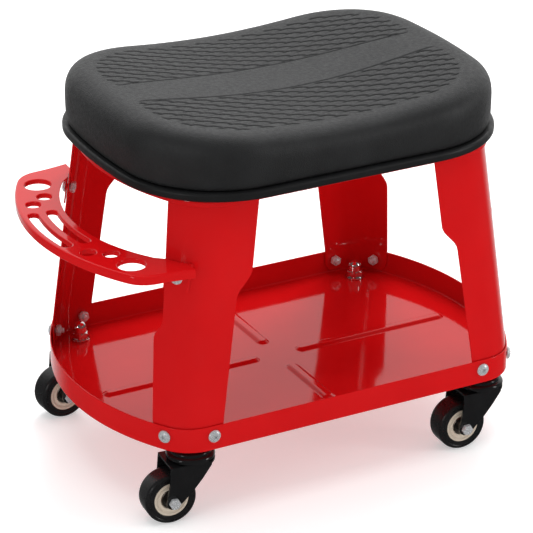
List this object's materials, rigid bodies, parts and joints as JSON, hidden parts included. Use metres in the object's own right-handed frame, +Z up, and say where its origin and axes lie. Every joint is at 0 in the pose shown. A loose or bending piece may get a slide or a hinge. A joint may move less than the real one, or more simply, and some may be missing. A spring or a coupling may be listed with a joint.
{
  "type": "rolling mechanic's seat",
  "caption": "Padded mechanic's stool on splayed sheet-metal legs, with a rimmed parts tray below, a curved tool rack at one end and swivel casters.",
  "frame": {"origin": "on the floor, under the middle of the whole object's bounding box", "axes": "+X along the seat, away from the tool rack; +Y to the back; +Z up"},
  "size_m": [0.49, 0.314, 0.3928],
  "materials": {
    "red_powder_coat": "glossy red powder coat",
    "black_foam_skin": "moulded foam skin with a fine leather grain",
    "black_board": "satin black moulded board",
    "black_caster_steel": "glossy black paint",
    "black_tread": "smooth black polyurethane",
    "cream_hub": "cream moulded plastic",
    "bearing_steel": "dull bearing steel",
    "zinc_screw": "bright zinc plate",
    "chrome_nut": "polished chrome"
  },
  "bodies": {
    "frame": {"cushion": "black_foam_skin", "seat_base": "black_board", "top_plate": "red_powder_coat", "tray": "red_powder_coat", "tool_rack": "red_powder_coat", "leg_fl": "red_powder_coat", "seat_bolt_fl": "zinc_screw", "tray_screw_side_fl": "zinc_screw", "tray_screw_end_fl": "zinc_screw", "caster_stem_fl": "black_caster_steel", "acorn_nut_fl": "chrome_nut", "leg_fr": "red_powder_coat", "seat_bolt_fr": "zinc_screw", "tray_screw_side_fr": "zinc_screw", "tray_screw_end_fr": "zinc_screw", "caster_stem_fr": "black_caster_steel", "acorn_nut_fr": "chrome_nut", "leg_bl": "red_powder_coat", "seat_bolt_bl": "zinc_screw", "tray_screw_side_bl": "zinc_screw", "tray_screw_end_bl": "zinc_screw", "caster_stem_bl": "black_caster_steel", "acorn_nut_bl": "chrome_nut", "leg_br": "red_powder_coat", "seat_bolt_br": "zinc_screw", "tray_screw_side_br": "zinc_screw", "tray_screw_end_br": "zinc_screw", "caster_stem_br": "black_caster_steel", "acorn_nut_br": "chrome_nut", "rack_screw_fl": "zinc_screw", "rack_nut_fl": "zinc_screw", "rack_screw_bl": "zinc_screw", "rack_nut_bl": "zinc_screw"},
    "swivel_fl": {"fork_fl": "black_caster_steel", "axle_bolt_fl": "zinc_screw", "axle_nut_fl": "zinc_screw"},
    "wheel_fl": {"tread_fl": "black_tread", "hub_fl": "cream_hub", "bearing_fl": "bearing_steel"},
    "swivel_fr": {"fork_fr": "black_caster_steel", "axle_bolt_fr": "zinc_screw", "axle_nut_fr": "zinc_screw"},
    "wheel_fr": {"tread_fr": "black_tread", "hub_fr": "cream_hub", "bearing_fr": "bearing_steel"},
    "swivel_bl": {"fork_bl": "black_caster_steel", "axle_bolt_bl": "zinc_screw", "axle_nut_bl": "zinc_screw"},
    "wheel_bl": {"tread_bl": "black_tread", "hub_bl": "cream_hub", "bearing_bl": "bearing_steel"},
    "swivel_br": {"fork_br": "black_caster_steel", "axle_bolt_br": "zinc_screw", "axle_nut_br": "zinc_screw"},
    "wheel_br": {"tread_br": "black_tread", "hub_br": "cream_hub", "bearing_br": "bearing_steel"}
  },
  "joints": [
    {"name": "caster_swivel_fl", "type": "hinge", "parent": "frame", "child": "swivel_fl", "pos_m": [-0.14695, -0.127, 0.0624], "axis": [0, 0, 1], "continuous": true},
    {"name": "wheel_spin_fl", "type": "hinge", "parent": "swivel_fl", "child": "wheel_fl", "pos_m": [-0.17116, -0.12488, 0.026], "axis": [-0.0872, -0.9962, 0], "continuous": true},
    {"name": "caster_swivel_fr", "type": "hinge", "parent": "frame", "child": "swivel_fr", "pos_m": [0.17905, -0.127, 0.0624], "axis": [0, 0, 1], "continuous": true},
    {"name": "wheel_spin_fr", "type": "hinge", "parent": "swivel_fr", "child": "wheel_fr", "pos_m": [0.15477, -0.12615, 0.026], "axis": [-0.0349, -0.9994, 0], "continuous": true},
    {"name": "caster_swivel_bl", "type": "hinge", "parent": "frame", "child": "swivel_bl", "pos_m": [-0.14695, 0.127, 0.0624], "axis": [0, 0, 1], "continuous": true},
    {"name": "wheel_spin_bl", "type": "hinge", "parent": "swivel_bl", "child": "wheel_bl", "pos_m": [-0.17119, 0.1253, 0.026], "axis": [0.0698, -0.9976, 0], "continuous": true},
    {"name": "caster_swivel_br", "type": "hinge", "parent": "frame", "child": "swivel_br", "pos_m": [0.17905, 0.127, 0.0624], "axis": [0, 0, 1], "continuous": true},
    {"name": "wheel_spin_br", "type": "hinge", "parent": "swivel_br", "child": "wheel_br", "pos_m": [0.15475, 0.12658, 0.026], "axis": [0.0175, -0.9998, 0], "continuous": true}
  ]
}
